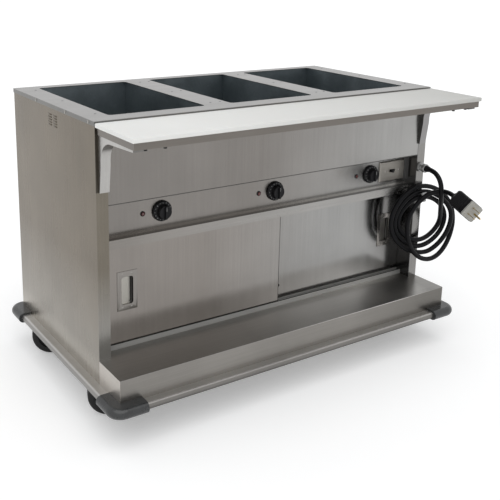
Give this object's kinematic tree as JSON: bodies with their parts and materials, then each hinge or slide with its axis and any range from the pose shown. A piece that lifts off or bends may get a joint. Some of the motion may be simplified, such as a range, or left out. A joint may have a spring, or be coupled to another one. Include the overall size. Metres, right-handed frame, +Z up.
{
  "type": "hot food table",
  "caption": "Mobile stainless hot food table with open heated wells, a cutting-board ledge, dial controls, sliding cabinet doors, a cord coil on a hook and a bumper rail on swivel casters.",
  "frame": {"origin": "on the floor under the middle of the table's outline, the cord left out", "axes": "+X to the right as the cook at the front sees it, -Y to the front where the board and controls are, +Z up"},
  "size_m": [1.381, 0.9169, 0.864],
  "materials": {
    "top_steel": "satin brushed stainless",
    "body_steel": "brushed stainless with a vertical grain",
    "inner_steel": "galvanised sheet",
    "well_liner": "dark galvanised sheet",
    "heater": "heat-darkened metal sheath",
    "board_plastic": "white cutting-board plastic",
    "black_plastic": "satin black",
    "lamp_lens": "dark red lens",
    "thermostat_case": "moulded",
    "switch_plate": "brushed wall plate",
    "pull_metal": "satin plated",
    "nylon": "nylon",
    "bumper_tube": "brushed rail",
    "bumper_rubber": "matte slate grey",
    "plated_steel": "zinc plated",
    "wheel_rubber": "hard black rubber",
    "gland_metal": "die cast",
    "cord_rubber": "black jacket",
    "plug_black": "moulded black",
    "plug_grey": "moulded grey",
    "blade_brass": "bare brass",
    "screw_steel": "plated"
  },
  "bodies": {
    "table": {"top_plate": "top_steel", "left_well": "well_liner", "centre_well": "well_liner", "right_well": "well_liner", "heating_elements": "heater", "left_side_panel": "body_steel", "right_side_panel": "body_steel", "rear_panel": "body_steel", "front_apron": "body_steel", "control_panel": "body_steel", "control_box": "inner_steel", "door_header": "body_steel", "lower_track": "body_steel", "cabinet_floor": "inner_steel", "base_ledge": "body_steel", "caster_rails": "inner_steel", "thermostats": "thermostat_case", "pilot_lamps": "lamp_lens", "switch_plate": "switch_plate", "switch_body": "black_plastic", "board_shelf": "body_steel", "shelf_brackets": "body_steel", "sheet_screws": "screw_steel", "bumper_rails": "bumper_tube", "corner_bumpers": "bumper_rubber", "bumper_brackets": "plated_steel", "caster_plates": "plated_steel", "caster_bolts": "screw_steel", "cord_gland": "gland_metal", "cord_hook": "plated_steel", "cord_lead": "cord_rubber", "cord_coil": "cord_rubber", "cord_tail": "cord_rubber", "plug_body": "plug_black", "plug_face": "plug_grey", "plug_blades": "blade_brass"},
    "left_door": {"left_door": "body_steel", "left_pull": "pull_metal", "left_door_glides": "nylon"},
    "right_door": {"right_door": "body_steel", "right_pull": "pull_metal", "right_door_glides": "nylon"},
    "left_knob": {"left_knob": "black_plastic"},
    "centre_knob": {"centre_knob": "black_plastic"},
    "right_knob": {"right_knob": "black_plastic"},
    "switch_toggle": {"switch_toggle": "black_plastic"},
    "cutting_board": {"cutting_board": "board_plastic", "board_pins": "black_plastic"},
    "front_left_caster": {"front_left_fork": "plated_steel", "front_left_axle": "screw_steel"},
    "front_left_wheel": {"front_left_wheel": "wheel_rubber"},
    "front_right_caster": {"front_right_fork": "plated_steel", "front_right_axle": "screw_steel"},
    "front_right_wheel": {"front_right_wheel": "wheel_rubber"},
    "rear_left_caster": {"rear_left_fork": "plated_steel", "rear_left_axle": "screw_steel"},
    "rear_left_wheel": {"rear_left_wheel": "wheel_rubber"},
    "rear_right_caster": {"rear_right_fork": "plated_steel", "rear_right_axle": "screw_steel"},
    "rear_right_wheel": {"rear_right_wheel": "wheel_rubber"}
  },
  "joints": [
    {"name": "left_door_slide", "type": "slide", "parent": "table", "child": "left_door", "axis": [1, 0, 0], "range_m": [0, 0.535]},
    {"name": "right_door_slide", "type": "slide", "parent": "table", "child": "right_door", "axis": [-1, 0, 0], "range_m": [0, 0.535]},
    {"name": "left_knob_turn", "type": "hinge", "parent": "table", "child": "left_knob", "pos_m": [-0.388, -0.1665, 0.58], "axis": [0, 1, 0], "range_deg": [0, 270]},
    {"name": "centre_knob_turn", "type": "hinge", "parent": "table", "child": "centre_knob", "pos_m": [0.008, -0.1665, 0.58], "axis": [0, 1, 0], "range_deg": [0, 270]},
    {"name": "right_knob_turn", "type": "hinge", "parent": "table", "child": "right_knob", "pos_m": [0.404, -0.1665, 0.58], "axis": [0, 1, 0], "range_deg": [0, 270]},
    {"name": "switch_throw", "type": "hinge", "parent": "table", "child": "switch_toggle", "pos_m": [0.502, -0.158, 0.58], "axis": [0, 0, 1], "range_deg": [0, 24]},
    {"name": "board_lift", "type": "slide", "parent": "table", "child": "cutting_board", "axis": [0, 0, 1], "range_m": [0, 0.06]},
    {"name": "front_left_swivel", "type": "hinge", "parent": "table", "child": "front_left_caster", "pos_m": [-0.5195, -0.1755, 0.145], "axis": [0, 0, 1], "continuous": true},
    {"name": "front_left_roll", "type": "hinge", "parent": "front_left_caster", "child": "front_left_wheel", "pos_m": [-0.55521, -0.1625, 0.0635], "axis": [-0.342, -0.9397, 0], "continuous": true},
    {"name": "front_right_swivel", "type": "hinge", "parent": "table", "child": "front_right_caster", "pos_m": [0.5195, -0.1755, 0.145], "axis": [0, 0, 1], "continuous": true},
    {"name": "front_right_roll", "type": "hinge", "parent": "front_right_caster", "child": "front_right_wheel", "pos_m": [0.48379, -0.1625, 0.0635], "axis": [-0.342, -0.9397, 0], "continuous": true},
    {"name": "rear_left_swivel", "type": "hinge", "parent": "table", "child": "rear_left_caster", "pos_m": [-0.5195, 0.2585, 0.145], "axis": [0, 0, 1], "continuous": true},
    {"name": "rear_left_roll", "type": "hinge", "parent": "rear_left_caster", "child": "rear_left_wheel", "pos_m": [-0.55521, 0.2715, 0.0635], "axis": [-0.342, -0.9397, 0], "continuous": true},
    {"name": "rear_right_swivel", "type": "hinge", "parent": "table", "child": "rear_right_caster", "pos_m": [0.5195, 0.2585, 0.145], "axis": [0, 0, 1], "continuous": true},
    {"name": "rear_right_roll", "type": "hinge", "parent": "rear_right_caster", "child": "rear_right_wheel", "pos_m": [0.48379, 0.2715, 0.0635], "axis": [-0.342, -0.9397, 0], "continuous": true}
  ]
}
